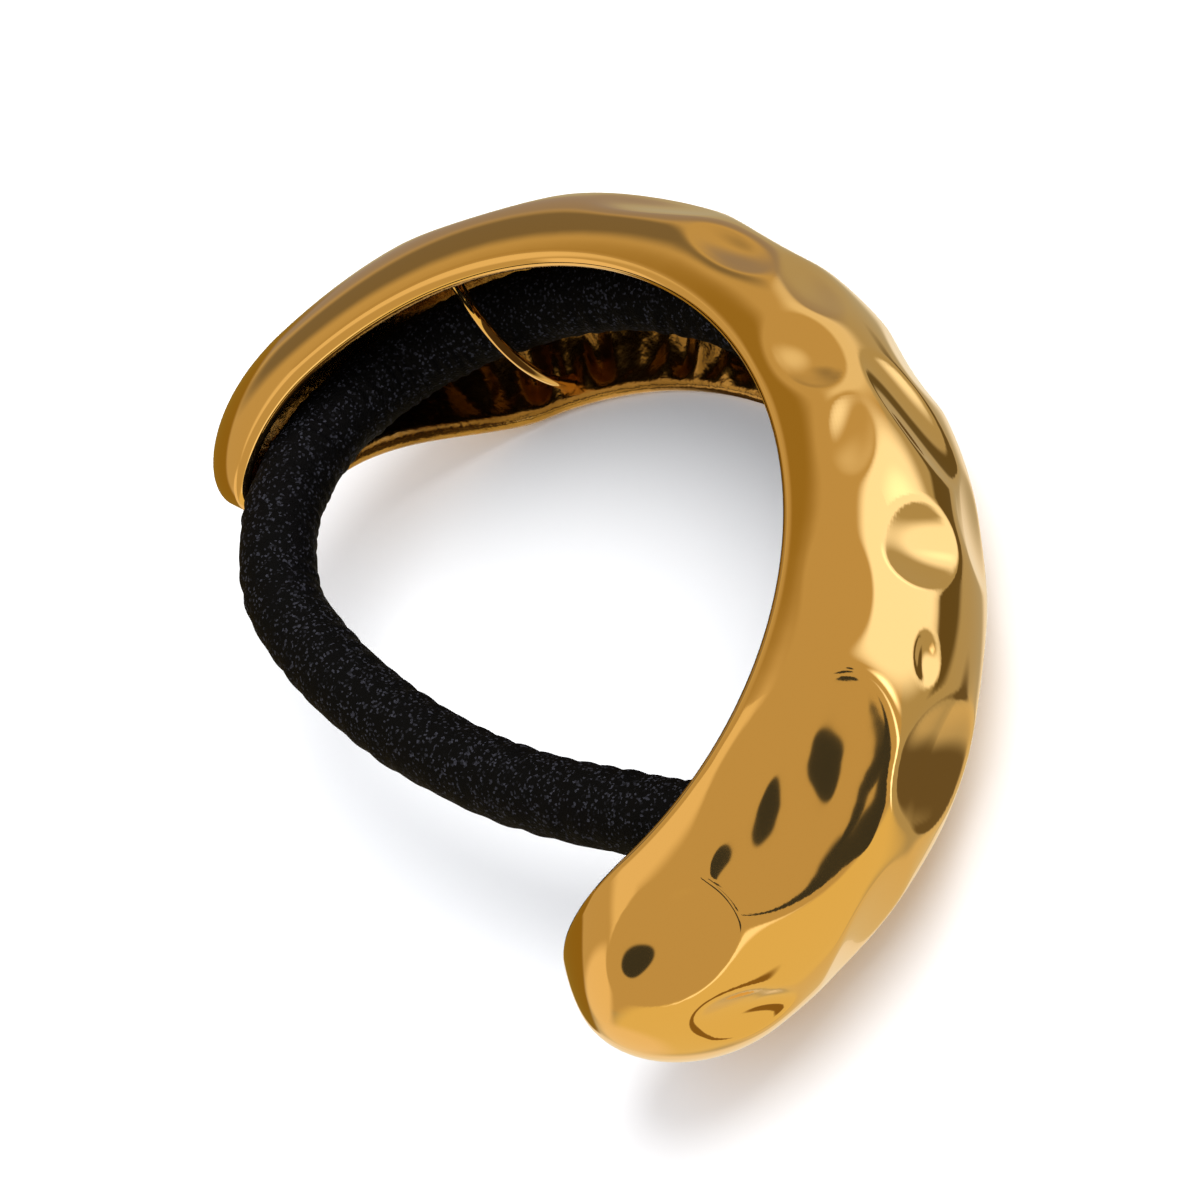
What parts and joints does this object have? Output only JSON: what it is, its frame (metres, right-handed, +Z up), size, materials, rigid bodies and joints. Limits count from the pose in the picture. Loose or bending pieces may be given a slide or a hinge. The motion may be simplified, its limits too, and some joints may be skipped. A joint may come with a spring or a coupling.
{
  "type": "ponytail cuff",
  "caption": "Hammered metal ponytail cuff: an open ring of puffed channel with a covered elastic ring held inside by wire keepers.",
  "frame": {"origin": "on the ponytail's axis, level with the surface the cuff lies on", "axes": "+Z up along the ponytail, +X to the right arm, -Y to the middle of the metal, +Y to the opening that the elastic crosses"},
  "size_m": [0.065, 0.0432, 0.0176],
  "materials": {
    "gold_plated_metal": "mirror-polished gold-tone plating over a cast, hammered-look form",
    "covered_elastic": "finely knitted matt black cover over a rubber core"
  },
  "bodies": {
    "root": {"cuff": "gold_plated_metal", "elastic": "covered_elastic"}
  },
  "joints": []
}
